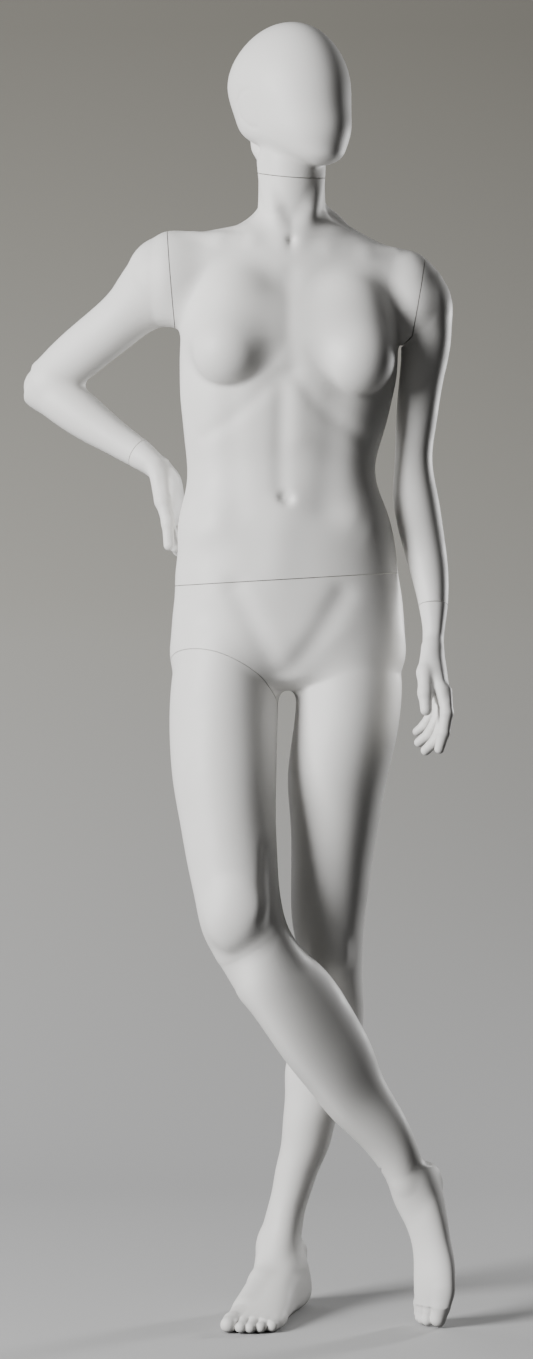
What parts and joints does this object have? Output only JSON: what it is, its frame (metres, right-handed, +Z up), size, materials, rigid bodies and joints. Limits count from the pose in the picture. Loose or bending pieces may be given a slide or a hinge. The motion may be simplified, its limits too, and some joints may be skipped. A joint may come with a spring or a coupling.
{
  "type": "full body mannequin",
  "caption": "Hollow white female display mannequin with blank head, hand on hip and crossed legs, splitting at neck, shoulders, wrists, waist and thigh.",
  "frame": {"origin": "on the floor, at the mouth of the support socket in the sole of the left foot", "axes": "+Z up, the figure faces -Y, its left side is at +X"},
  "size_m": [0.6058, 0.314, 1.791],
  "materials": {
    "skin": "matte off-white paint over sanded glass fibre",
    "board": "raw birch plywood",
    "fitting": "zinc plated, brushed",
    "washer": "natural nylon",
    "screws": "zinc plated"
  },
  "bodies": {
    "lower_body": {"lower_body_shell": "skin", "waist_socket_board": "board", "waist_socket": "fitting", "waist_socket_screws": "screws", "thigh_socket_board": "board", "thigh_socket": "fitting", "thigh_socket_screws": "screws", "foot_socket": "fitting"},
    "waist_ring": {"waist_washer": "washer"},
    "upper_torso": {"torso_shell": "skin", "waist_spigot_board": "board", "waist_spigot": "fitting", "waist_spigot_screws": "screws", "neck_socket_board": "board", "neck_socket": "fitting", "neck_socket_screws": "screws", "right_shoulder_socket_board": "board", "right_shoulder_socket": "fitting", "right_shoulder_socket_screws": "screws", "left_shoulder_socket_board": "board", "left_shoulder_socket": "fitting", "left_shoulder_socket_screws": "screws"},
    "neck_ring": {"neck_washer": "washer"},
    "head": {"head_shell": "skin", "neck_spigot_board": "board", "neck_spigot": "fitting", "neck_spigot_screws": "screws"},
    "right_shoulder_ring": {"right_shoulder_washer": "washer"},
    "right_arm": {"right_arm_shell": "skin", "right_shoulder_spigot_board": "board", "right_shoulder_spigot": "fitting", "right_shoulder_spigot_screws": "screws", "right_wrist_socket_board": "board", "right_wrist_socket": "fitting"},
    "right_palm": {"right_hand": "skin", "right_wrist_spigot": "fitting", "right_wrist_washer": "washer"},
    "left_shoulder_ring": {"left_shoulder_washer": "washer"},
    "left_arm": {"left_arm_shell": "skin", "left_shoulder_spigot_board": "board", "left_shoulder_spigot": "fitting", "left_shoulder_spigot_screws": "screws", "left_wrist_socket_board": "board", "left_wrist_socket": "fitting"},
    "left_wrist_ring": {"left_wrist_washer": "washer"},
    "left_palm": {"left_hand": "skin", "left_wrist_spigot": "fitting"},
    "right_leg": {"right_leg_shell": "skin", "thigh_spigot_board": "board", "thigh_spigot": "fitting", "thigh_spigot_screws": "screws", "thigh_washer": "washer"}
  },
  "joints": [
    {"name": "waist_turn", "type": "hinge", "parent": "lower_body", "child": "waist_ring", "pos_m": [0.005, -0.055, 1.02], "axis": [-0.0579, 0, 0.9983], "range_deg": [-20, 20]},
    {"name": "torso_lift", "type": "slide", "parent": "waist_ring", "child": "upper_torso", "axis": [-0.0579, 0, 0.9983], "range_m": [0, 0.03]},
    {"name": "head_turn", "type": "hinge", "parent": "upper_torso", "child": "neck_ring", "pos_m": [0.012, -0.045, 1.582], "axis": [0.0736, -0.1767, 0.9815], "range_deg": [-40, 40]},
    {"name": "head_lift", "type": "slide", "parent": "neck_ring", "child": "head", "axis": [0.0736, -0.1767, 0.9815], "range_m": [0, 0.03]},
    {"name": "right_arm_turn", "type": "hinge", "parent": "upper_torso", "child": "right_shoulder_ring", "pos_m": [-0.155, -0.045, 1.44], "axis": [-0.9968, 0, -0.0797], "range_deg": [-35, 0]},
    {"name": "right_arm_pull", "type": "slide", "parent": "right_shoulder_ring", "child": "right_arm", "axis": [-0.9968, 0, -0.0797], "range_m": [0, 0.03]},
    {"name": "right_hand_turn", "type": "hinge", "parent": "right_arm", "child": "right_palm", "pos_m": [-0.203, 0.005, 1.198], "axis": [0.7818, -0.3709, -0.5012], "range_deg": [-20, 0]},
    {"name": "left_arm_turn", "type": "hinge", "parent": "upper_torso", "child": "left_shoulder_ring", "pos_m": [0.187, -0.045, 1.411], "axis": [0.9859, 0, -0.1676], "range_deg": [-40, 25]},
    {"name": "left_arm_pull", "type": "slide", "parent": "left_shoulder_ring", "child": "left_arm", "axis": [0.9859, 0, -0.1676], "range_m": [0, 0.03]},
    {"name": "left_hand_turn", "type": "hinge", "parent": "left_arm", "child": "left_wrist_ring", "pos_m": [0.207, -0.08, 0.984], "axis": [0.0201, -0.2707, -0.9625], "range_deg": [-30, 30]},
    {"name": "left_hand_pull", "type": "slide", "parent": "left_wrist_ring", "child": "left_palm", "axis": [0.0201, -0.2707, -0.9625], "range_m": [0, 0.03]},
    {"name": "right_leg_pull", "type": "slide", "parent": "lower_body", "child": "right_leg", "axis": [-0.366, -0.4619, -0.8079], "range_m": [0, 0.026]}
  ]
}
